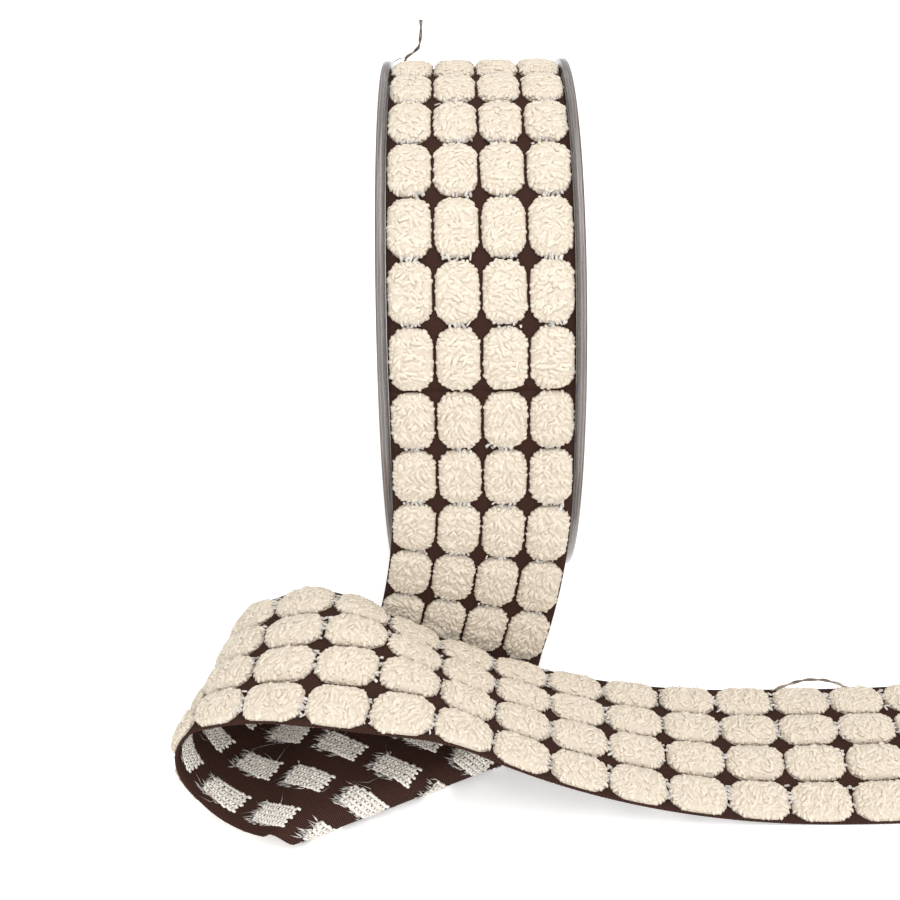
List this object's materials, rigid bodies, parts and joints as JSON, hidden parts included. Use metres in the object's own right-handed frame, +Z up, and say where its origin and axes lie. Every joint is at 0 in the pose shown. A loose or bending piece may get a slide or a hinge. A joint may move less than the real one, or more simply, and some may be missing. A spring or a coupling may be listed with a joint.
{
  "type": "chenille ribbon on a reel",
  "caption": "Wide chenille ribbon wound on a clear plastic reel, with its loose end dropped to the surface, folded back, curled over and run off to one side.",
  "frame": {"origin": "on the surface it rests on, under the middle of its whole extent", "axes": "+X along the reel's axle and the loose end, towards the loose end's cut end; +Y from the loose end towards the reel; +Z up"},
  "size_m": [0.2011, 0.1828, 0.128],
  "materials": {
    "ribbon": "cream chenille pile on a dark brown woven ground",
    "reel": "clear moulded plastic"
  },
  "bodies": {
    "root": {"ribbon_roll": "ribbon", "ribbon_tail": "ribbon", "reel": "reel"}
  },
  "joints": []
}
